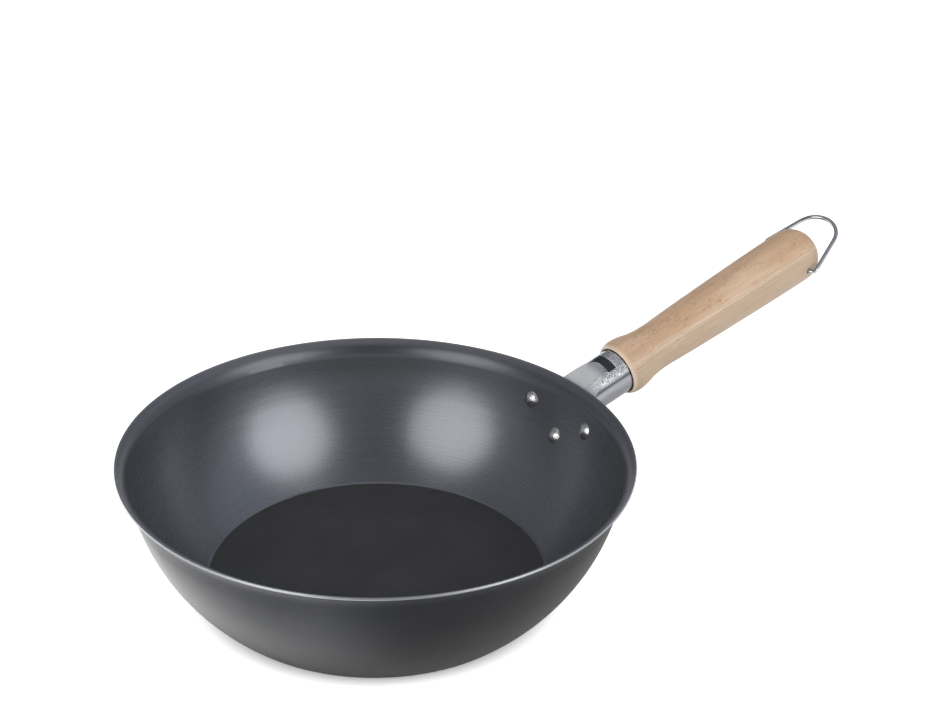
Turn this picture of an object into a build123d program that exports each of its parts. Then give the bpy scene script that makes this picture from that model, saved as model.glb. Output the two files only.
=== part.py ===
from build123d import *
import math
import os

os.makedirs("parts", exist_ok=True)

# Carbon steel wok with one long handle, in millimetres.
# The origin is the centre of the flat base where it rests, +Z up, the handle along +X.

# Pan shell
sheet_thickness = 1.6
base_flat_radius = 98.3
base_corner_radius = 4.3
wall_start_angle = 42.9
neck_angle = 80.7
neck_height = 72.9
lip_curl_radius = 12.05
lip_angle = 25.0
lip_edge_radius = 0.5

# Handle line, through a point outward of the pan's neck and a little above it
handle_angle = 15.34
handle_point_reach = 18.20
handle_point_rise = 1.75
# The handle sits a little turned about its own line
handle_turn = 9.7

# Socket of the bracket, stations along the handle line from the handle point
socket_radius = 14.75
socket_root_station = -40.0
# Towards the pan the socket spreads sideways as it flattens
flare_start_station = 6.0
flare_half_width = 23.0
flare_shares = (0, 0.25, 0.5, 0.75, 1)
# The pressed facet drops from the crown of the socket towards the pan
facet_station = 10.8
facet_lead_length = 0.6
facet_lead_depth = 0.5
facet_slope_angle = 25.4
facet_blend_radius = 3.0
# The underside of the socket rises a little towards the pan
belly_station = 2.0
belly_angle = 10.5

# Flange against the pan wall
wing_radius = 8.2
tongue_radius = 9.6

# Rivets
upper_rivet_side = 25.5
upper_rivet_drop = 9.3
lower_rivet_drop = 23.4
shank_radius = 2.4
inner_head_radius = 5.6
inner_head_height = 2.75
outer_head_radius = 3.7
outer_head_height = 1.3
head_sink = 0.35

# Wood grip, stations along the handle line
grip_face_station = 24.5
grip_length = 175.3
grip_end_radius = 18.4
grip_end_length = 16.25
grip_corner_turn = 60.0
# The front of the grip is a collar round the end of the socket
recess_depth = 3.0
recess_clearance = 0.35
recess_chamfer = 0.7
face_land_width = 0.9
collar_wall = 3.0
collar_length = 7.0
# Behind the collar the grip narrows to a waist and swells again
waist_distance = 30.5
waist_radius = 15.1
collar_shares = ((0.47, 0.83),)
waist_shares = ((0.17, 0.12), (0.32, 0.33), (0.47, 0.62), (0.63, 0.80), (0.79, 0.93))
swell_shares = ((0.10, 0.12), (0.33, 0.45), (0.57, 0.71), (0.81, 0.92))
# The tenon stops short of the facet
tenon_gap = 2.5
tenon_chamfer = 1.5

# Screw that holds the grip, from below through the socket
screw_end_distance = 9.3
screw_shank_radius = 2.0
screw_length = 12.0
screw_point_length = 3.5
screw_tip_share = 0.25
screw_head_radius = 4.0
screw_head_height = 1.7
screw_head_sink = 0.3
screw_slot_width = 1.0
screw_slot_depth = 0.8

# Hanging ring of bent wire
pivot_tip_distance = 19.4
ring_raise = 16.0
wire_radius = 1.5
pivot_clearance = 0.4
ring_foot_side = 22.8
ring_bow_radius = 15.3
ring_bow_centre = 24.4
ring_bend_radius = 3.3
wire_end_side = 5.5

# Foil label on the socket
label_thickness = 0.12
label_facet_gap = 0.4
label_grip_gap = 0.5
label_half_angle = 31.5

# How far cutting tools and stock run past the solids they meet
overrun = 60.0
full_turn = 360.0

upper_rivet_height = neck_height - upper_rivet_drop
lower_rivet_height = neck_height - lower_rivet_drop
socket_end_station = grip_face_station + recess_depth
grip_tip_station = grip_face_station + grip_length
pivot_station = grip_tip_station - pivot_tip_distance
screw_station = socket_end_station - screw_end_distance
tenon_station = facet_station + tenon_gap
label_start_station = facet_station + label_facet_gap
label_end_station = grip_face_station - label_grip_gap
recess_radius = socket_radius + recess_clearance

slope = math.radians(handle_angle)
along = Vector(math.cos(slope), 0, math.sin(slope))
turn = math.radians(handle_turn)
sideways = Vector(0, 1, 0)
outward = Vector(-math.sin(slope), 0, math.cos(slope))
across = sideways * math.cos(turn) + outward * math.sin(turn)
crown = outward * math.cos(turn) - sideways * math.sin(turn)


def handle_point(station):
    """Point of the handle line at a station."""
    neck_side = wall_point(0, neck_angle)[0]
    start = Vector(neck_side + handle_point_reach, 0, neck_height + handle_point_rise)
    return start + along * station


def handle_plane(station):
    """Plane square to the handle line, its local X across and its local Y to the crown."""
    return Plane(origin=handle_point(station), x_dir=across, z_dir=along)


def side_plane():
    """Middle plane of the handle, local X along the handle line and local Y to the crown."""
    return Plane(origin=handle_point(0), x_dir=along, z_dir=across * -1)


def wall_point(gap, angle):
    """Point of the wall arc where the sheet leans at an angle, a gap out from the outer face."""
    start = math.radians(wall_start_angle)
    corner_top = base_corner_radius * (1 - math.cos(start))
    corner_side = base_flat_radius + base_corner_radius * math.sin(start)
    lean = math.radians(angle)
    radius = wall_arc_radius()
    side = corner_side + radius * (math.sin(lean) - math.sin(start)) + gap * math.sin(lean)
    height = corner_top + radius * (math.cos(start) - math.cos(lean)) - gap * math.cos(lean)
    return (side, height)


def wall_arc_radius():
    """Radius of the wall arc that reaches the neck at its height."""
    start = math.radians(wall_start_angle)
    corner_top = base_corner_radius * (1 - math.cos(start))
    return (neck_height - corner_top) / (math.cos(start) - math.cos(math.radians(neck_angle)))


def wall_angle_at(height):
    """Lean of the wall at a height of its outer face."""
    start = math.radians(wall_start_angle)
    corner_top = base_corner_radius * (1 - math.cos(start))
    return math.degrees(math.acos(math.cos(start) - (height - corner_top) / wall_arc_radius()))


def profile_points(gap):
    """Ends and middles of the arcs of a face a gap out from the outer face of the pan."""
    start = math.radians(wall_start_angle)
    corner = base_corner_radius + gap
    half = start / 2
    corner_side = base_flat_radius + corner * math.sin(half)
    corner_mid = (corner_side, base_corner_radius - corner * math.cos(half))
    corner_end = wall_point(gap, wall_start_angle)
    wall_mid = wall_point(gap, (wall_start_angle + neck_angle) / 2)
    neck = wall_point(gap, neck_angle)
    neck_lean = math.radians(neck_angle)
    curl = lip_curl_radius - gap
    centre_side = neck[0] + curl * math.sin(neck_lean)
    centre_height = neck[1] - curl * math.cos(neck_lean)
    middle = math.radians((neck_angle + lip_angle) / 2)
    last = math.radians(lip_angle)
    lip_mid = (centre_side - curl * math.sin(middle), centre_height + curl * math.cos(middle))
    lip_end = (centre_side - curl * math.sin(last), centre_height + curl * math.cos(last))
    return corner_mid, corner_end, wall_mid, neck, lip_mid, lip_end


def shell_sketch(inner_gap, outer_gap):
    """Section of a sheet between two gaps measured out from the outer face of the pan."""
    plane = Plane.XZ
    near = profile_points(outer_gap)
    far = profile_points(inner_gap)
    edges = [
        Line((0, -outer_gap), (base_flat_radius, -outer_gap)),
        ThreePointArc((base_flat_radius, -outer_gap), near[0], near[1]),
        ThreePointArc(near[1], near[2], near[3]),
        ThreePointArc(near[3], near[4], near[5]),
        Line(near[5], far[5]),
        ThreePointArc(far[5], far[4], far[3]),
        ThreePointArc(far[3], far[2], far[1]),
        ThreePointArc(far[1], far[0], (base_flat_radius, -inner_gap)),
        Line((base_flat_radius, -inner_gap), (0, -inner_gap)),
        Line((0, -inner_gap), (0, -outer_gap)),
    ]
    return plane * make_face(edges)


def revolved(face):
    """Solid turned from a face about the upright axis of the pan, its seam away from the handle."""
    return Rotation(0, 0, full_turn / 2) * revolve(face, Axis.Z, full_turn)


def rivet_plane(side, height):
    """Plane on the outer face of the wall at a rivet, its Z pointing into the pan."""
    lean = wall_angle_at(height)
    radius = wall_point(0, lean)[0]
    place = math.asin(side / radius)
    inward = Vector(
        -math.cos(place) * math.sin(math.radians(lean)),
        -math.sin(place) * math.sin(math.radians(lean)),
        math.cos(math.radians(lean)),
    )
    origin = Vector(radius * math.cos(place), side, height)
    return Plane(origin=origin, x_dir=(-math.sin(place), math.cos(place), 0), z_dir=inward)


def rivet_planes():
    """The three rivet places: handle's left, handle's right and below."""
    return {
        "rivet_left": rivet_plane(upper_rivet_side, upper_rivet_height),
        "rivet_right": rivet_plane(-upper_rivet_side, upper_rivet_height),
        "rivet_lower": rivet_plane(0, lower_rivet_height),
    }


def standing_bar(radius, length):
    """Round bar standing on the local XY plane."""
    return Cylinder(radius, length, align=(Align.CENTER, Align.CENTER, Align.MIN))


def shank(plane, radius):
    """Round bar through the pan and the flange at a rivet."""
    reach = sheet_thickness * 2
    return plane * Location((0, 0, -reach)) * standing_bar(radius, reach * 2)


def dome(radius, height):
    """Low spherical cap standing on the local XY plane."""
    sphere_radius = (radius ** 2 + height ** 2) / (2 * height)
    ball = Location((0, 0, height - sphere_radius)) * Sphere(sphere_radius)
    return ball & standing_bar(radius * 2, height * 2)


def pan_body():
    """Pressed steel bowl with a flat base and a flared lip, drilled for the rivets."""
    section = shell_sketch(-sheet_thickness, 0)
    lip_corners = section.vertices().sort_by(Axis.X)[-2:]
    body = revolved(fillet(lip_corners, lip_edge_radius))
    for plane in rivet_planes().values():
        body -= shank(plane, shank_radius)
    return body


def facet_cut(depth):
    """Stock above the pressed facet, set a depth inward of its outer face."""
    lead = (facet_station - facet_lead_length, socket_radius - facet_lead_depth)
    run = lead[0] - socket_root_station
    drop = run * math.tan(math.radians(facet_slope_angle))
    end = (lead[0] - run, lead[1] - drop)
    top = socket_radius + overrun
    start = (facet_station, socket_radius)
    face = make_face(Polyline(start, lead, end, (end[0], top), (facet_station, top), close=True))
    corner = face.vertices().sort_by_distance(Vector(*lead))[0]
    face = fillet(corner, facet_blend_radius)
    if depth:
        face = offset(face, depth, kind=Kind.INTERSECTION)
    return extrude(side_plane() * face, overrun, both=True)


def belly_cut(depth):
    """Stock below the rising underside of the socket, set a depth inward."""
    run = belly_station - socket_root_station
    rise = run * math.tan(math.radians(belly_angle))
    far = belly_station - run
    start = (belly_station, -socket_radius)
    low = -socket_radius - overrun
    root = (far, rise - socket_radius)
    face = make_face(Polyline(start, root, (far, low), (belly_station, low), close=True))
    if depth:
        face = offset(face, depth, kind=Kind.INTERSECTION)
    return extrude(side_plane() * face, overrun, both=True)


def socket_section(share, depth):
    """Section of the socket on its way from round to spread, at a share of its flare."""
    station = flare_start_station + (socket_root_station - flare_start_station) * share
    half_width = socket_radius + (flare_half_width - socket_radius) * share ** 2
    return handle_plane(station) * Ellipse(half_width - depth, socket_radius - depth)


def socket_stock(depth):
    """Socket from root to end, set a depth inward of its outer skin."""
    length = socket_end_station - flare_start_station + depth
    bar = handle_plane(flare_start_station).location * standing_bar(socket_radius - depth, length)
    flare = loft([socket_section(share, depth) for share in flare_shares])
    return bar + flare - facet_cut(depth) - belly_cut(depth)


def flange_stock():
    """Plate that follows the pan wall, its outline drawn round the three rivets."""
    flat = Plane.YZ
    ears = [
        Location((upper_rivet_side, upper_rivet_height)) * Circle(wing_radius),
        Location((-upper_rivet_side, upper_rivet_height)) * Circle(wing_radius),
        Location((0, lower_rivet_height)) * Circle(tongue_radius),
    ]
    edges = [edge for ear in ears for edge in ear.edges()]
    outline = make_hull(edges)
    block = extrude(flat * outline, handle_point(0).X)
    return block & revolved(shell_sketch(0, sheet_thickness))


def handle_bracket():
    """Pressed steel socket with its riveting flange, one sheet."""
    inside = revolved(make_face(Plane.XZ * filled_outline()))
    skin = socket_stock(0) - inside
    body = skin + flange_stock()
    body -= socket_stock(sheet_thickness)
    for plane in rivet_planes().values():
        body -= shank(plane, shank_radius)
    body -= screw_bar(screw_shank_radius)
    return body


def filled_outline():
    """Outline of everything inside the outer face of the pan, closed on the axis."""
    near = profile_points(0)
    top = near[3][1] + overrun
    return Wire([
        Line((0, 0), (base_flat_radius, 0)),
        ThreePointArc((base_flat_radius, 0), near[0], near[1]),
        ThreePointArc(near[1], near[2], near[3]),
        Line(near[3], (near[3][0], top)),
        Line((near[3][0], top), (0, top)),
        Line((0, top), (0, 0)),
    ])


def screw_plane():
    """Plane under the socket at the screw, its Z pointing up into the grip."""
    centre = handle_point(screw_station) - crown * socket_radius
    return Plane(origin=centre, x_dir=across, z_dir=crown)


def screw_bar(radius):
    """Round bar along the screw, from below the socket to the screw's point."""
    bar = standing_bar(radius, screw_head_height + screw_length)
    return screw_plane().location * Location((0, 0, -screw_head_height)) * bar


def rivet(plane):
    """Domed rivet: shank through both sheets, a head inside the bowl and an upset head outside."""
    frame = plane.location
    sheets = revolved(shell_sketch(-sheet_thickness, sheet_thickness))
    inner = Location((0, 0, sheet_thickness - head_sink)) * dome(inner_head_radius, inner_head_height)
    turned = Rotation(full_turn / 2, 0, 0)
    upset_dome = turned * dome(outer_head_radius, outer_head_height)
    outer = Location((0, 0, head_sink - sheet_thickness)) * upset_dome
    bar = Location((0, 0, -sheet_thickness)) * standing_bar(shank_radius, sheet_thickness * 2)
    drilled = sheets - shank(plane, shank_radius)
    return frame * (bar + inner + outer) - drilled


def blended(start, end, shares):
    """Points between two points of an outline, at shares of the way along and of the way up."""
    run = end[0] - start[0]
    rise = end[1] - start[1]
    return [(start[0] + run * far, start[1] + rise * high) for far, high in shares]


def grip_ridge():
    """Points of the turned outline from the face of the grip to where its round end begins."""
    face = (grip_face_station, recess_radius + face_land_width)
    collar = (grip_face_station + collar_length, recess_radius + collar_wall)
    waist = (grip_face_station + waist_distance, waist_radius)
    swell = (grip_tip_station - grip_end_length, grip_end_radius)
    points = [face] + blended(face, collar, collar_shares)
    points += [collar] + blended(collar, waist, waist_shares)
    points += [waist] + blended(waist, swell, swell_shares)
    return points + [swell]


def round_end():
    """Corner arc and dome arc that close the grip, tangent to each other and square to its line."""
    lean = math.radians(grip_corner_turn)
    tight = (1 - math.sin(lean)) / math.cos(lean)
    spread = math.sin(lean) - tight * (1 - math.cos(lean))
    corner_radius = (grip_end_length - grip_end_radius * tight) / spread
    dome_radius = (grip_end_radius - corner_radius * (1 - math.cos(lean))) / math.cos(lean)
    begin = grip_tip_station - grip_end_length
    drop = grip_end_radius - corner_radius
    half = lean / 2
    corner_mid = (begin + corner_radius * math.sin(half), drop + corner_radius * math.cos(half))
    touch = (begin + corner_radius * math.sin(lean), drop + corner_radius * math.cos(lean))
    dome_centre = grip_tip_station - dome_radius
    late = (lean + math.pi / 2) / 2
    dome_mid = (dome_centre + dome_radius * math.sin(late), dome_radius * math.cos(late))
    return [
        ThreePointArc((begin, grip_end_radius), corner_mid, touch),
        ThreePointArc(touch, dome_mid, (grip_tip_station, 0)),
    ]


def grip_outline():
    """Half section of the turned grip, local X along the handle line and local Y the radius."""
    bore = socket_radius - sheet_thickness
    ridge = grip_ridge()
    mouth = (grip_face_station + recess_chamfer, recess_radius)
    chamfer = (grip_face_station, recess_radius + recess_chamfer / 2)
    return make_face([
        Line((tenon_station, 0), (tenon_station, bore - tenon_chamfer)),
        Line((tenon_station, bore - tenon_chamfer), (tenon_station + tenon_chamfer, bore)),
        Line((tenon_station + tenon_chamfer, bore), (socket_end_station, bore)),
        Line((socket_end_station, bore), (socket_end_station, recess_radius)),
        Line((socket_end_station, recess_radius), mouth),
        Line(mouth, chamfer),
        Line(chamfer, ridge[0]),
        Spline(*ridge),
        *round_end(),
        Line((grip_tip_station, 0), (tenon_station, 0)),
    ])


def handle_axis():
    """Axis of the handle line."""
    return Axis(handle_point(0), along)


def wood_grip():
    """Turned wooden grip with its tenon in the socket and a cross hole for the ring."""
    body = revolve(side_plane() * grip_outline(), handle_axis(), full_turn)
    hole = Cylinder(wire_radius + pivot_clearance, overrun * 2, rotation=(0, full_turn / 4, 0))
    body -= pivot_plane().location * hole
    body -= screw_bar(screw_shank_radius)
    return body


def grip_screw():
    """Screw with a low slotted head that holds the grip in the socket."""
    frame = screw_plane().location
    up = (Align.CENTER, Align.CENTER, Align.MIN)
    straight = screw_length - screw_point_length
    tip_radius = screw_shank_radius * screw_tip_share
    point = Cone(screw_shank_radius, tip_radius, screw_point_length, align=up)
    bar = standing_bar(screw_shank_radius, straight) + Location((0, 0, straight)) * point
    downward = Rotation(full_turn / 2, 0, 0)
    head = Location((0, 0, screw_head_sink)) * downward * dome(screw_head_radius, screw_head_height)
    slot = Box(screw_slot_width, screw_head_radius * 2, screw_slot_depth, align=up)
    head -= Location((0, 0, screw_head_sink - screw_head_height)) * slot
    skin = handle_plane(screw_station).location * Cylinder(socket_radius, screw_head_radius * 4)
    return frame * bar + (frame * head - skin)


def pivot_plane():
    """Plane of the ring, origin on the pivot, local X across the grip and local Y to the bow."""
    raised = math.radians(ring_raise)
    reach = along * math.cos(raised) + crown * math.sin(raised)
    return Plane(origin=handle_point(pivot_station), x_dir=across, z_dir=across.cross(reach))


def ring_path():
    """Centre line of the bent wire in the plane of the ring."""
    foot_reach = math.hypot(ring_foot_side, ring_bow_centre)
    leg = math.sqrt(foot_reach ** 2 - ring_bow_radius ** 2)
    lean = math.atan2(ring_bow_centre, -ring_foot_side) - math.asin(ring_bow_radius / foot_reach)
    touch = (ring_foot_side + leg * math.cos(lean), leg * math.sin(lean))
    apex = (0, ring_bow_centre + ring_bow_radius)
    near = FilletPolyline((wire_end_side, 0), (ring_foot_side, 0), touch, radius=ring_bend_radius)
    far = mirror(near, Plane.YZ)
    bow = ThreePointArc(touch, apex, (-touch[0], touch[1]))
    return near, bow, far


def hang_ring():
    """Hanging ring of round wire, its two ends turned into the cross hole."""
    near, bow, far = ring_path()
    edges = near.edges() + bow.edges() + far.edges()
    path = Wire(edges)
    start = path @ 0
    heading = path % 0
    disc = Plane(origin=start, z_dir=heading) * Circle(wire_radius)
    return pivot_plane().location * sweep(disc, path=path)


def socket_label():
    """Thin blank foil wrapped over the crown of the socket, between the facet and the grip."""
    length = label_end_station - label_start_station
    frame = handle_plane(label_start_station).location
    sleeve = standing_bar(socket_radius + label_thickness, length) - standing_bar(socket_radius, length)
    reach = socket_radius * 2
    half = math.radians(label_half_angle)
    corner = (reach * math.sin(half), reach * math.cos(half))
    wedge = make_face(Polyline((0, 0), corner, (-corner[0], corner[1]), close=True))
    return frame * (sleeve & extrude(wedge, length))


def write_step(name, shape):
    """Write one piece to its STEP file."""
    solids = shape.solids()
    piece = solids[0] if len(solids) == 1 else shape
    export_step(piece, f"parts/{name}.step")
    print(name, len(solids), round(shape.volume, 1), shape.is_valid)


write_step("pan_body", pan_body())
write_step("handle_bracket", handle_bracket())
for rivet_name, rivet_place in rivet_planes().items():
    write_step(rivet_name, rivet(rivet_place))
write_step("wood_grip", wood_grip())
write_step("grip_screw", grip_screw())
write_step("hang_ring", hang_ring())
write_step("socket_label", socket_label())
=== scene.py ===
import bpy
import math
from mathutils import Matrix, Vector

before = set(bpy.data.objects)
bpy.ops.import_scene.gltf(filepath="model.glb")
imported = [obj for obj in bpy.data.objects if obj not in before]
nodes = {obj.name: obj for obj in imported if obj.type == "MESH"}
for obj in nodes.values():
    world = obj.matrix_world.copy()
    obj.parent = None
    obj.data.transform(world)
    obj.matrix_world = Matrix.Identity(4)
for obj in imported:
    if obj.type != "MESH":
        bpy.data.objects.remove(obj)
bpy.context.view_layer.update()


def colour(red, green, blue):
    return (red, green, blue, 1.0)


# Handle line of the wok, in metres
HANDLE_SLOPE = math.radians(15.34)
HANDLE_TURN = math.radians(9.7)
HANDLE_POINT = Vector((0.1579, 0, 0.07465))
ALONG = Vector((math.cos(HANDLE_SLOPE), 0, math.sin(HANDLE_SLOPE)))
OUTWARD = Vector((-math.sin(HANDLE_SLOPE), 0, math.cos(HANDLE_SLOPE)))
SIDEWAYS = Vector((0, 1, 0))
ACROSS = SIDEWAYS * math.cos(HANDLE_TURN) + OUTWARD * math.sin(HANDLE_TURN)
CROWN = OUTWARD * math.cos(HANDLE_TURN) - SIDEWAYS * math.sin(HANDLE_TURN)

# Camera, measured from the rim and base circles
RIM_CENTRE = Vector((0, 0, 0.08185))
CAMERA_TURN = math.radians(-34.3)
CAMERA_RISE = math.radians(29.6563)
CAMERA_ROLL = math.radians(-0.1186)
CAMERA_DISTANCE = 0.90795
FOCAL = 1600
IMAGE_WIDTH = 940
SENSOR_WIDTH = 36
AIM_RIGHT = -92.3656
AIM_DOWN = 97.1222
NEAREST_SEEN = 0.01
FARTHEST_SEEN = 50

# Studio: fill, how dark the sweep gets overhead, and between which heights it darkens
FILL = 0.5
FILL_TINT = colour(0.97, 0.98, 1.0)
WHITE = colour(1.0, 1.0, 1.0)
OVERHEAD = 0.14
OVERHEAD_SIDES = 0.40
OVERHEAD_RIGHT = 0.16
OVERHEAD_TINT = (0.90, 0.98, 1.09)
OVERHEAD_HEIGHT = (0.05, 0.22)

# Lamps: bearing from the camera, then the size, height angle, distance and power they share
LAMP_TINT = (1.0, 0.985, 0.96)
SIDE_LAMPS = (("left", -43.5), ("right", 53))
SIDE_LAMP_RISE = math.radians(29)
SIDE_LAMP_DISTANCE = 1.9
SIDE_LAMP_SIZE = (1.45, 1.5)
SIDE_LAMP_POWER = 14.8
TOP_LAMP_PLACE = (0.0, 0.35, 1.9)
TOP_LAMP_SIZE = (2.2, 2.2)
TOP_LAMP_POWER = 4
LAMP_TARGET = Vector((0, 0, 0.04))

# Floor: its shape, how far it is lifted to white, how much less it is lifted close to the wok as a painted
# contact shadow, the painted light that only reflections see, and the distances over which that happens
FLOOR_RADIUS = 12
FLOOR_CORNERS = 96
FLOOR_DEPTH = -0.0002
FLOOR_TONE = colour(0.9, 0.9, 0.9)
FLOOR_ROUGHNESS = 0.9
# Painted contact shadow: the lift that the camera sees is lower close to the wok
SHADOW_DARK = 0.2
SHADOW_LIFT = 0.70
SHADOW_EDGE = (0.098, 0.112)
# Painted light that only reflections see: brighter to the left, dim to the right, dark close to the wok
REFLECTED_LIFT = 0.5
REFLECTED_LIFT_EDGE = (0.2, 0.4)
REFLECTED_RIGHT = 0.10
REFLECTED_LEFT = 1.9
REFLECTED_ACROSS = (-0.035, 0.06)
REFLECTED_EDGE = (0.10, 0.14)
FAR_LIFT = 0.7
FAR_EDGE = (0.4, 1.6)
CAMERA_RAYS = ("Is Camera Ray",)
MIRROR_RAYS = ("Is Glossy Ray", "Is Transmission Ray")

# Values between which a noise mostly lies
SPREAD = (0.3, 0.7)
WIDE_SPREAD = (0.2, 0.8)
NARROW_SPREAD = (0.35, 0.65)

# Pan: which way a surface faces, the radii at which the finish changes and at which painted shade and a
# painted highlight lie, and its tones
PAN_INSIDE = (-0.02, 0.02)
FLAT_FACING = (0.985, 0.999)
FLAT_EDGE = (0.1005, 0.0990)
# Radii over which the upper wall gets a little darker with painted shade
UPPER_WALL = (0.1290, 0.1375)
LIP_SATIN = (0.1365, 0.1390)
# Radii of a band of painted shade in the neck bend
BEND_START = (0.1378, 0.1392)
BEND_END = (0.1428, 0.1400)
# Radii over which the lip lightens with a painted highlight, and those of the cut edge itself
LIP_HIGHLIGHT_SPAN = (0.1442, 0.1452)
CUT_EDGE = (0.1454, 0.1459)
WALL_DARK = colour(0.174, 0.180, 0.200)
WALL_LIGHT = colour(0.184, 0.190, 0.210)
BASE_DARK = colour(0.068, 0.069, 0.074)
BASE_LIGHT = colour(0.080, 0.081, 0.086)
OUTSIDE_DARK = colour(0.020, 0.021, 0.023)
OUTSIDE_LIGHT = colour(0.027, 0.028, 0.031)
# Tone of the painted shade in the neck bend and on the upper wall
PAN_SHADE_TONE = colour(0.064, 0.068, 0.080)
# Tone of the painted highlight on the lip and its cut edge
LIP_HIGHLIGHT_TONE = colour(0.42, 0.43, 0.46)
WALL_ROUGHNESS = (0.24, 0.30)
LIP_ROUGHER = 0.05
FLAT_ROUGHER = 0.20
OUTSIDE_ROUGHER = 0.10

# Plated parts: roughness, grain, and the share of a tone that is left in its streaks
RIVET_TONE = (0.70, 0.69, 0.67)
RIVET_ROUGHNESS = 0.22
SCREW_TONE = (0.62, 0.62, 0.64)
SCREW_ROUGHNESS = 0.28
RING_TONE = (0.46, 0.47, 0.49)
RING_ROUGHNESS = 0.10
PLATE_GRAIN = 0.3
RING_GRAIN = 0.02
STREAK_SHADE = 0.93
STREAK_SCALE = (90, 900, 900)

# Socket: where the shoulder with its painted glints, the painted dark reflection band and the pressed facet
# with its painted shade and painted rim highlight lie, and their tones
FACET_SLOPE = math.radians(25.4)
FACET_FACING = (0.90, 0.99)
# Span along the handle over which the facet darkens with painted shade
FACET_SHADE = (0.003, 0.010)
# Facing over which a painted highlight runs along the facet's rim
RIM_START = (0.90, 0.94)
RIM_END = (0.98, 0.95)
# The shoulder is where a lamp's reflection falls on the tube
SHOULDER_START = (0.38, 0.54)
SHOULDER_END = (0.82, 0.70)
SHOULDER_TOP = (0.0, 0.004)
# Nearness over which a painted dark reflection band runs along the tube
BAND_START = (0.70, 0.84)
BAND_END = (0.96, 0.88)
SPARK_SHARE = (0.40, 0.90)
TUBE_DARK = colour(0.30, 0.31, 0.335)
TUBE_LIGHT = colour(0.34, 0.35, 0.375)
# Tone of the painted dark reflection band on the tube
BAND_TONE = colour(0.13, 0.137, 0.15)
# Crystal grain of the plating; its light cells are painted glints
CRYSTAL_DARK = colour(0.33, 0.34, 0.36)
CRYSTAL_GLINT = colour(0.70, 0.71, 0.73)
SATIN_DARK = colour(0.87, 0.88, 0.89)
SATIN_LIGHT = colour(0.93, 0.94, 0.95)
# Tone of the painted shade towards the top of the facet's arch
SATIN_PAINTED_SHADE = colour(0.34, 0.35, 0.37)
# Tone of the painted highlight along the facet's rim
RIM_HIGHLIGHT_TONE = colour(0.85, 0.86, 0.88)
TUBE_ROUGHNESS = (0.12, 0.18)
SHOULDER_ROUGHER = 0.08
SATIN_ROUGHNESS = 0.52

# Wood: growth layers round the heart line of the tree, the shares of the grip, a painted sheen stripe,
# painted light on the front, and its tones
HEART = (0.0, 0.010, -0.090)
YEAR_WIDTH = 0.00145
YEAR_WAVER = 0.004
TOP_START = (0.60, 0.86)
# Rise over which a painted sheen stripe runs along the grip
SHEEN_STRIPE_START = (0.58, 0.66)
SHEEN_STRIPE_END = (0.76, 0.68)
# Facing over which the front face and its recess get painted light
FRONT_FACING = (0.25, 0.70)
DASH_SHARE = (0.60, 0.68)
PATCH_SHARE = (0.46, 0.58)
FIBRE_DARK_SHARE = (0.40, 0.70)
FIBRE_LIGHT_SHARE = (0.30, 0.42)
SIDE_LIGHT = colour(0.495, 0.380, 0.273)
SIDE_LINE = colour(0.352, 0.243, 0.155)
TOP_DARK = colour(0.510, 0.335, 0.212)
TOP_LIGHT = colour(0.615, 0.438, 0.310)
TOP_LINE = colour(0.480, 0.300, 0.185)
# Tone of the painted sheen stripe
SHEEN_STRIPE_TONE = colour(0.760, 0.610, 0.475)
FIBRE_DARK = colour(0.490, 0.320, 0.205)
FIBRE_LIGHT = colour(0.740, 0.570, 0.430)
DASH_TONE = colour(0.330, 0.170, 0.090)
# Tone of the painted light on the front face and in its recess
FRONT_PAINTED_LIGHT = colour(0.830, 0.680, 0.540)
WOOD_ROUGHNESS = (0.40, 0.52)

# Label: where its band and line end along the handle line, and its tones
LABEL_BAND_END = 0.0172
LABEL_LINE_END = 0.0178
PRINT_SOFTNESS = 0.00005
FOIL_DARK = colour(0.17, 0.18, 0.20)
FOIL_LIGHT = colour(0.90, 0.91, 0.93)
LABEL_LINE_TONE = colour(0.80, 0.81, 0.83)
LABEL_BAND_TONE = colour(0.012, 0.016, 0.021)
FOIL_ROUGHNESS = (0.30, 0.42)


def studio(right, away, up):
    """A place given to the right of, away from and above the bowl as the camera sees it."""
    c, s = math.cos(CAMERA_TURN), math.sin(CAMERA_TURN)
    return Vector((right * c - away * s, right * s + away * c, up))


def add_camera():
    """Camera with its optical centre in the middle of the picture."""
    back = studio(0, -math.cos(CAMERA_RISE), math.sin(CAMERA_RISE))
    right = studio(1, 0, 0)
    up = back.cross(right)
    c, s = math.cos(CAMERA_ROLL), math.sin(CAMERA_ROLL)
    rolled_right = right * c + up * s
    rolled_up = up * c - right * s
    aim = Vector((AIM_RIGHT, -AIM_DOWN, -FOCAL)).normalized()
    swing = Vector((0, 0, -1)).rotation_difference(aim).to_matrix()
    turn = (swing @ Matrix((rolled_right, rolled_up, back))).transposed()
    data = bpy.data.cameras.new("camera")
    data.sensor_width = SENSOR_WIDTH
    data.lens = FOCAL / IMAGE_WIDTH * data.sensor_width
    data.clip_start = NEAREST_SEEN
    data.clip_end = FARTHEST_SEEN
    camera = bpy.data.objects.new("camera", data)
    bpy.context.scene.collection.objects.link(camera)
    camera.matrix_world = Matrix.Translation(RIM_CENTRE + back * CAMERA_DISTANCE) @ turn.to_4x4()
    bpy.context.scene.camera = camera


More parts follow.
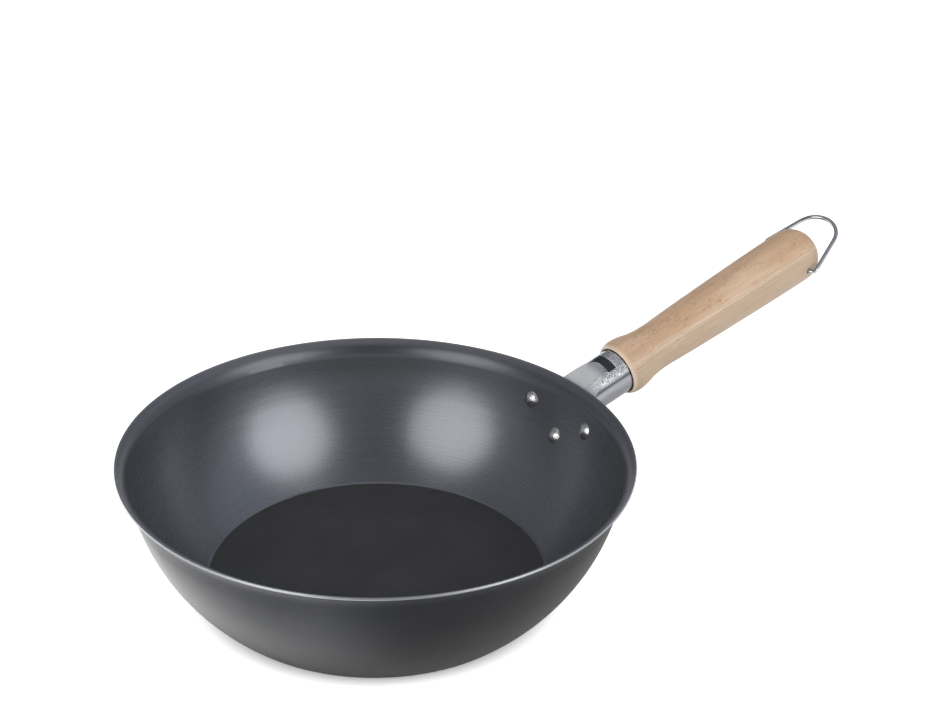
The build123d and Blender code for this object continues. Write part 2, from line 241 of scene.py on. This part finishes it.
class Graph:
    """A node tree with short ways to add and join its nodes."""

    def __init__(self, tree):
        self.tree = tree

    def put(self, node, key, value):
        """Set or join one socket, given by its name, or by i and its number."""
        numbered = key[:1] == "i" and key[1:].isdigit()
        socket = node.inputs[int(key[1:])] if numbered else node.inputs[key]
        if isinstance(value, bpy.types.NodeSocket):
            self.tree.links.new(value, socket)
        else:
            socket.default_value = value

    def add(self, kind, settings=None, **inputs):
        node = self.tree.nodes.new(kind)
        for key, value in (settings or {}).items():
            setattr(node, key, value)
        for key, value in inputs.items():
            self.put(node, key, value)
        return node

    def part(self, vector, index):
        return self.add("ShaderNodeSeparateXYZ", Vector=vector).outputs[index]

    def join(self, x, y, z=0.0):
        return self.add("ShaderNodeCombineXYZ", X=x, Y=y, Z=z).outputs[0]

    def minus(self, a, b):
        return self.add("ShaderNodeVectorMath", {"operation": "SUBTRACT"}, i0=a, i1=b).outputs[0]

    def scaled(self, vector, scale):
        return self.add("ShaderNodeVectorMath", {"operation": "MULTIPLY"}, i0=vector, i1=scale).outputs[0]

    def dot(self, a, b):
        return self.add("ShaderNodeVectorMath", {"operation": "DOT_PRODUCT"}, i0=a, i1=b).outputs["Value"]

    def length(self, vector):
        return self.add("ShaderNodeVectorMath", {"operation": "LENGTH"}, i0=vector).outputs["Value"]

    def math(self, operation, a, b=0.0, c=0.0):
        return self.add("ShaderNodeMath", {"operation": operation}, i0=a, i1=b, i2=c).outputs[0]

    def times(self, a, b):
        return self.math("MULTIPLY", a, b)

    def plus(self, a, b):
        return self.math("ADD", a, b)

    def noise(self, vector, scale=1.0, detail=3.0, roughness=0.5):
        node = self.add("ShaderNodeTexNoise", Vector=vector, Scale=scale, Detail=detail, Roughness=roughness)
        return node.outputs["Fac"]

    def cells(self, vector, scale):
        return self.add("ShaderNodeTexVoronoi", Vector=vector, Scale=scale, Randomness=1.0).outputs

    def ramp(self, value, low, high, start=0.0, end=1.0, kind="SMOOTHSTEP"):
        settings = {"interpolation_type": kind, "clamp": True}
        node = self.add("ShaderNodeMapRange", settings, i0=value, i1=low, i2=high, i3=start, i4=end)
        return node.outputs[0]

    def window(self, value, start, end):
        """Share that rises over one range and falls over another."""
        return self.times(self.ramp(value, *start), self.ramp(value, *end))

    def mix(self, share, a, b):
        return self.add("ShaderNodeMix", {"data_type": "RGBA"}, i0=share, i6=a, i7=b).outputs[2]

    def bump(self, height, strength, distance):
        return self.add("ShaderNodeBump", Height=height, Strength=strength, Distance=distance).outputs[0]

    def facing(self):
        """Direction that the surface faces."""
        return self.add("ShaderNodeNewGeometry").outputs["True Normal"]

    def seen(self, names):
        """Share that is 1 for the named kinds of ray."""
        path = self.add("ShaderNodeLightPath")
        total = path.outputs[names[0]]
        for name in names[1:]:
            total = self.math("MAXIMUM", total, path.outputs[name])
        return total


class Material(Graph):
    """Procedural material of one kind of surface."""

    def __init__(self, name):
        self.data = bpy.data.materials.new(name)
        self.data.use_nodes = True
        super().__init__(self.data.node_tree)
        self.shader = self.tree.nodes["Principled BSDF"]

    def set(self, **inputs):
        for key, value in inputs.items():
            self.put(self.shader, key.replace("_", " "), value)

    def place(self):
        """Object coordinates: metres in the frame of the wok."""
        return self.add("ShaderNodeTexCoord").outputs["Object"]

    def handle_place(self):
        """Metres along the handle line, across it and up to its crown."""
        offset = self.minus(self.place(), HANDLE_POINT)
        return self.join(*[self.dot(offset, axis) for axis in (ALONG, ACROSS, CROWN)])

    def from_line(self, vector):
        """Distance from the first axis."""
        return self.length(self.scaled(vector, (0, 1, 1)))

    def streaks(self, place):
        """Faint handling marks along the handle line."""
        return self.noise(self.scaled(place, STREAK_SCALE), 1.0, 3.0, 0.6)


def pan_material():
    """Dark nitrided steel: finely turned wall, matt flat bottom, plain outside; painted shade in the neck
    bend and on the upper wall, and a painted highlight towards the lip's cut edge.
    """
    m = Material("nitrided_steel")
    place = m.place()
    radius = m.length(m.join(m.part(place, 0), m.part(place, 1)))
    height = m.part(place, 2)
    upward = m.part(m.facing(), 2)
    inside = m.ramp(upward, *PAN_INSIDE)
    flat_share = m.times(m.ramp(upward, *FLAT_FACING), m.ramp(radius, *FLAT_EDGE))
    turned = m.join(radius, height)
    fine = m.noise(m.scaled(turned, (2600, 2600, 1)), 1.0, 2.0, 0.6)
    mottle = m.ramp(m.noise(place, 24.0, 4.0, 0.55), *SPREAD)
    grit = m.noise(place, 1500.0, 2.0, 0.6)
    wall = m.mix(m.ramp(fine, *SPREAD), WALL_DARK, WALL_LIGHT)
    base = m.mix(mottle, BASE_DARK, BASE_LIGHT)
    outer = m.mix(mottle, OUTSIDE_DARK, OUTSIDE_LIGHT)
    # Painted shade: a dark band in the neck bend, and the upper wall a little darker
    wall = m.mix(m.times(m.window(radius, BEND_START, BEND_END), 0.6), wall, PAN_SHADE_TONE)
    wall = m.mix(m.ramp(radius, *UPPER_WALL, 0.0, 0.15), wall, PAN_SHADE_TONE)
    # Painted highlight: the lip lightens towards its cut edge
    wall = m.mix(m.ramp(radius, *LIP_HIGHLIGHT_SPAN, 0.0, 0.3), wall, LIP_HIGHLIGHT_TONE)
    tone = m.mix(inside, outer, m.mix(flat_share, wall, base))
    # Painted highlight on the cut edge itself
    tone = m.mix(m.times(m.ramp(radius, *CUT_EDGE), 0.4), tone, LIP_HIGHLIGHT_TONE)
    metal = m.math("SUBTRACT", m.ramp(inside, 0.0, 1.0, 0.5, 0.75), m.times(flat_share, 0.25))
    m.set(Base_Color=tone, Metallic=metal, Specular_IOR_Level=0.15)
    rough = m.ramp(fine, *WIDE_SPREAD, *WALL_ROUGHNESS)
    rough = m.plus(rough, m.times(m.ramp(radius, *LIP_SATIN), LIP_ROUGHER))
    rough = m.plus(rough, m.times(flat_share, FLAT_ROUGHER))
    rough = m.plus(rough, m.ramp(inside, 0.0, 1.0, OUTSIDE_ROUGHER, 0.0))
    m.set(Roughness=rough, Anisotropic=0.2, Anisotropic_Rotation=0.25)
    tangent = m.add("ShaderNodeTangent", {"direction_type": "RADIAL", "axis": "Z"})
    m.set(Tangent=tangent.outputs[0], Normal=m.bump(m.plus(fine, grit), 0.025, 0.0002))
    return m


def plated_material(name, tone, rough, grain):
    """Bright plated steel with faint handling marks and a fine crystal grain."""
    m = Material(name)
    place = m.handle_place()
    streak = m.streaks(place)
    cloud = m.noise(place, 60.0, 4.0, 0.6)
    shade = colour(*[part * STREAK_SHADE for part in tone])
    m.set(Metallic=1.0, Base_Color=m.mix(m.ramp(streak, *SPREAD), shade, colour(*tone)))
    m.set(Roughness=m.ramp(cloud, *SPREAD, rough * 0.8, rough * 1.3))
    height = m.plus(streak, m.times(m.cells(place, 1100.0)["Distance"], 2.0))
    m.set(Normal=m.bump(height, grain, 0.0002))
    return m


def bracket_material():
    """Plated socket: satin pressed facet with painted shade towards the top of its arch and a painted
    highlight along its rim, crystal grain with painted glints on the near shoulder, smooth tube with a
    painted dark reflection band.
    """
    m = Material("plated_steel")
    place = m.handle_place()
    along, across, up = [m.part(place, index) for index in range(3)]
    nearness = m.math("DIVIDE", m.times(across, -1.0), m.from_line(place))
    streak = m.streaks(place)
    cloud = m.noise(place, 180.0, 4.0, 0.6)
    wander = m.plus(nearness, m.ramp(m.noise(place, 400.0, 2.0, 0.6), *SPREAD, -0.06, 0.06))
    shoulder = m.times(m.window(wander, SHOULDER_START, SHOULDER_END), m.ramp(up, *SHOULDER_TOP))
    cells = m.cells(place, 1700.0)
    spark = m.ramp(m.part(cells["Color"], 0), *SPARK_SHARE)
    facet = CROWN * math.cos(FACET_SLOPE) - ALONG * math.sin(FACET_SLOPE)
    facing = m.dot(m.facing(), facet)
    pressed = m.ramp(facing, *FACET_FACING)
    tube = m.mix(m.ramp(streak, *SPREAD), TUBE_DARK, TUBE_LIGHT)
    # Painted reflection: a dark band along the tube's near side
    tube = m.mix(m.window(nearness, BAND_START, BAND_END), tube, BAND_TONE)
    # Crystal grain of the plating on the shoulder, its light cells painted glints where a lamp's reflection
    # falls
    tube = m.mix(shoulder, tube, m.mix(spark, CRYSTAL_DARK, CRYSTAL_GLINT))
    satin = m.mix(m.ramp(cloud, *SPREAD), SATIN_DARK, SATIN_LIGHT)
    # Painted shade: the facet darkens towards the top of its arch
    satin = m.mix(m.ramp(along, *FACET_SHADE, 0.0, 0.75), satin, SATIN_PAINTED_SHADE)
    # Painted highlight along the rounded edge between the facet and the tube
    rim = m.times(m.window(facing, RIM_START, RIM_END), 0.6)
    m.set(Metallic=1.0, Base_Color=m.mix(rim, m.mix(pressed, tube, satin), RIM_HIGHLIGHT_TONE))
    rough = m.plus(m.ramp(cloud, *SPREAD, *TUBE_ROUGHNESS), m.times(shoulder, SHOULDER_ROUGHER))
    rough = m.add("ShaderNodeMix", Factor=pressed, A=rough, B=SATIN_ROUGHNESS).outputs[0]
    height = m.plus(m.times(streak, 0.3), m.times(cells["Distance"], m.times(shoulder, 2.8)))
    m.set(Roughness=rough, Normal=m.bump(height, 0.5, 0.0002))
    return m


def wood_material():
    """Bare beech: growth layers nearly level under the crown, fibres, and short ray flecks, with a painted
    sheen stripe between the sides and the crown and painted light on the front face.
    """
    m = Material("beech")
    place = m.handle_place()
    waver = m.noise(m.scaled(place, (8, 30, 30)), 1.0, 2.0, 0.5)
    depth = m.from_line(m.minus(place, HEART))
    years = m.times(m.plus(depth, m.times(waver, YEAR_WAVER)), 1 / YEAR_WIDTH)
    layer = m.noise(m.join(years, 0.0), 0.9, 1.0, 0.5)
    line = m.ramp(m.math("SINE", m.times(years, 2 * math.pi)), -0.1, 1.0)
    line = m.times(line, m.ramp(layer, *SPREAD, 0.25, 1.0))
    fibre = m.noise(m.scaled(place, (25, 1300, 1300)), 1.0, 3.0, 0.6)
    broad = m.noise(m.scaled(place, (14, 110, 110)), 1.0, 2.0, 0.5)
    patch = m.noise(m.scaled(place, (70, 240, 240)), 1.0, 2.0, 0.5)
    dash = m.noise(m.scaled(place, (420, 1700, 1700)), 1.0, 0.5, 0.4)
    dash = m.times(m.ramp(dash, *DASH_SHARE), m.ramp(patch, *PATCH_SHARE))
    rise = m.math("DIVIDE", m.part(place, 2), m.from_line(place))
    wander = m.plus(rise, m.ramp(waver, *SPREAD, -0.05, 0.05))
    top = m.ramp(wander, *TOP_START)
    # Painted sheen: a pale stripe between the sides and the crown
    pale = m.window(wander, SHEEN_STRIPE_START, SHEEN_STRIPE_END)
    side_tone = m.mix(m.times(line, 0.85), SIDE_LIGHT, SIDE_LINE)
    top_tone = m.mix(m.ramp(broad, *NARROW_SPREAD), TOP_DARK, TOP_LIGHT)
    top_tone = m.mix(m.times(line, 0.25), top_tone, TOP_LINE)
    tone = m.mix(top, side_tone, top_tone)
    tone = m.mix(m.times(pale, 0.30), tone, SHEEN_STRIPE_TONE)
    tone = m.mix(m.ramp(fibre, *FIBRE_DARK_SHARE, 0.0, 0.45), tone, FIBRE_DARK)
    tone = m.mix(m.ramp(fibre, *FIBRE_LIGHT_SHARE, 0.35, 0.0), tone, FIBRE_LIGHT)
    tone = m.mix(m.times(dash, m.ramp(top, 0.0, 1.0, 0.30, 0.75)), tone, DASH_TONE)
    # Painted light on the front face and in its recess, standing in for the lit front rim and lifting the
    # recess's shade
    tone = m.mix(m.ramp(m.dot(m.facing(), -ALONG), *FRONT_FACING, 0.0, 0.8), tone, FRONT_PAINTED_LIGHT)
    m.set(Base_Color=tone, Roughness=m.ramp(fibre, *SPREAD, *WOOD_ROUGHNESS))
    m.set(Normal=m.bump(fibre, 0.25, 0.0003), Specular_IOR_Level=0.5)
    return m


def label_material():
    """Blank foil, with a thin bright line and a dark band towards the pan."""
    m = Material("label_foil")
    place = m.handle_place()
    along = m.part(place, 0)
    band = m.ramp(along, LABEL_BAND_END - PRINT_SOFTNESS, LABEL_BAND_END + PRINT_SOFTNESS, 1.0, 0.0)
    line = m.ramp(along, LABEL_LINE_END - PRINT_SOFTNESS, LABEL_LINE_END + PRINT_SOFTNESS, 1.0, 0.0)
    grain = m.noise(m.scaled(place, (1400, 1400, 1400)), 1.0, 3.0, 0.7)
    foil = m.mix(m.ramp(grain, *NARROW_SPREAD), FOIL_DARK, FOIL_LIGHT)
    foil = m.mix(line, foil, LABEL_LINE_TONE)
    m.set(Base_Color=m.mix(band, foil, LABEL_BAND_TONE), Metallic=m.ramp(band, 0.0, 1.0, 0.9, 0.0))
    m.set(Roughness=m.ramp(grain, *SPREAD, *FOIL_ROUGHNESS), Normal=m.bump(grain, 0.2, 0.0002))
    return m


def give(name, material):
    """Put one material on a CAD piece."""
    piece = nodes[name]
    if not piece.material_slots:
        piece.data.materials.append(material.data)
    for slot in piece.material_slots:
        slot.material = material.data


def add_light(name, place, size, power):
    """Soft round studio light aimed at the bowl."""
    data = bpy.data.lights.new(name, "AREA")
    data.shape = "ELLIPSE"
    data.size, data.size_y = size
    data.energy = power
    data.color = LAMP_TINT
    light = bpy.data.objects.new(name, data)
    light.location = place
    aim = LAMP_TARGET - place
    light.rotation_euler = aim.to_track_quat("-Z", "Y").to_euler()
    bpy.context.scene.collection.objects.link(light)


def add_world():
    """White sweep round the object that darkens overhead, with a plain level of fill."""
    world = bpy.data.worlds.new("studio")
    world.use_nodes = True
    bpy.context.scene.world = world
    w = Graph(world.node_tree)
    fill = w.tree.nodes["Background"]
    w.put(fill, "Color", FILL_TINT)
    w.put(fill, "Strength", FILL)
    direction = w.add("ShaderNodeTexCoord").outputs["Generated"]
    sideways = w.dot(direction, studio(1, 0, 0))
    slope = w.math("MULTIPLY_ADD", sideways, OVERHEAD_SIDES, OVERHEAD_RIGHT)
    overhead = w.math("MULTIPLY_ADD", slope, sideways, OVERHEAD)
    tinted = w.add("ShaderNodeVectorMath", {"operation": "SCALE"}, i0=OVERHEAD_TINT, Scale=overhead)
    height = w.ramp(w.part(direction, 2), *OVERHEAD_HEIGHT, kind="LINEAR")
    sweep = w.add("ShaderNodeBackground", Color=w.mix(height, WHITE, tinted.outputs[0]))
    share = w.seen(CAMERA_RAYS + MIRROR_RAYS)
    mixed = w.add("ShaderNodeMixShader", i0=share, i1=fill.outputs[0], i2=sweep.outputs[0])
    w.put(w.tree.nodes["World Output"], "i0", mixed.outputs[0])


def floor_material():
    """Pale floor lifted to white away from the wok: less near it as a painted contact shadow, and for
    reflections only a painted light that is brighter to the left and dark close to the wok.
    """
    m = Material("floor_white")
    m.set(Base_Color=FLOOR_TONE, Roughness=FLOOR_ROUGHNESS, Specular_IOR_Level=0.0)
    place = m.place()
    flat = m.join(m.part(place, 0), m.part(place, 1))
    apart = m.length(flat)
    leftward = m.dot(flat, studio(-1, 0, 0))
    # Painted reflection: floor light seen only by reflections, brighter to the left and dark close to the
    # wok as a painted shadow
    near = m.ramp(leftward, *REFLECTED_ACROSS, REFLECTED_RIGHT, REFLECTED_LEFT)
    near = m.times(near, m.ramp(apart, *REFLECTED_EDGE))
    mirrored = m.math("MAXIMUM", near, m.ramp(apart, *REFLECTED_LIFT_EDGE, 0.0, REFLECTED_LIFT))
    mirrored = m.times(mirrored, m.seen(MIRROR_RAYS))
    # Painted contact shadow: the floor is lifted less close to the wok
    viewed = m.times(m.ramp(apart, *SHADOW_EDGE, SHADOW_DARK, SHADOW_LIFT), m.seen(CAMERA_RAYS))
    far = m.times(m.seen(CAMERA_RAYS + MIRROR_RAYS), m.ramp(apart, *FAR_EDGE, 0.0, FAR_LIFT))
    m.set(Emission_Color=WHITE, Emission_Strength=m.plus(m.plus(mirrored, viewed), far))
    return m


def add_floor():
    """Plain pale floor that keeps the shadow of the wok."""
    bpy.ops.mesh.primitive_circle_add(
        vertices=FLOOR_CORNERS, radius=FLOOR_RADIUS, fill_type="NGON", location=(0, 0, FLOOR_DEPTH))
    floor = bpy.context.object
    floor.name = "floor"
    floor.data.materials.append(floor_material().data)


give("pan_body", pan_material())
give("handle_bracket", bracket_material())
bright = plated_material("rivet_steel", RIVET_TONE, RIVET_ROUGHNESS, PLATE_GRAIN)
for rivet in ("rivet_left", "rivet_right", "rivet_lower"):
    give(rivet, bright)
give("wood_grip", wood_material())
give("grip_screw", plated_material("screw_steel", SCREW_TONE, SCREW_ROUGHNESS, PLATE_GRAIN))
give("hang_ring", plated_material("ring_wire", RING_TONE, RING_ROUGHNESS, RING_GRAIN))
give("socket_label", label_material())

add_camera()
add_world()
add_floor()
level = math.cos(SIDE_LAMP_RISE)
for side, bearing in SIDE_LAMPS:
    turn = math.radians(bearing)
    toward = studio(math.sin(turn) * level, -math.cos(turn) * level, math.sin(SIDE_LAMP_RISE))
    add_light(side, toward * SIDE_LAMP_DISTANCE, SIDE_LAMP_SIZE, SIDE_LAMP_POWER)
add_light("top", studio(*TOP_LAMP_PLACE), TOP_LAMP_SIZE, TOP_LAMP_POWER)

scene = bpy.context.scene
scene.view_settings.view_transform = "Standard"
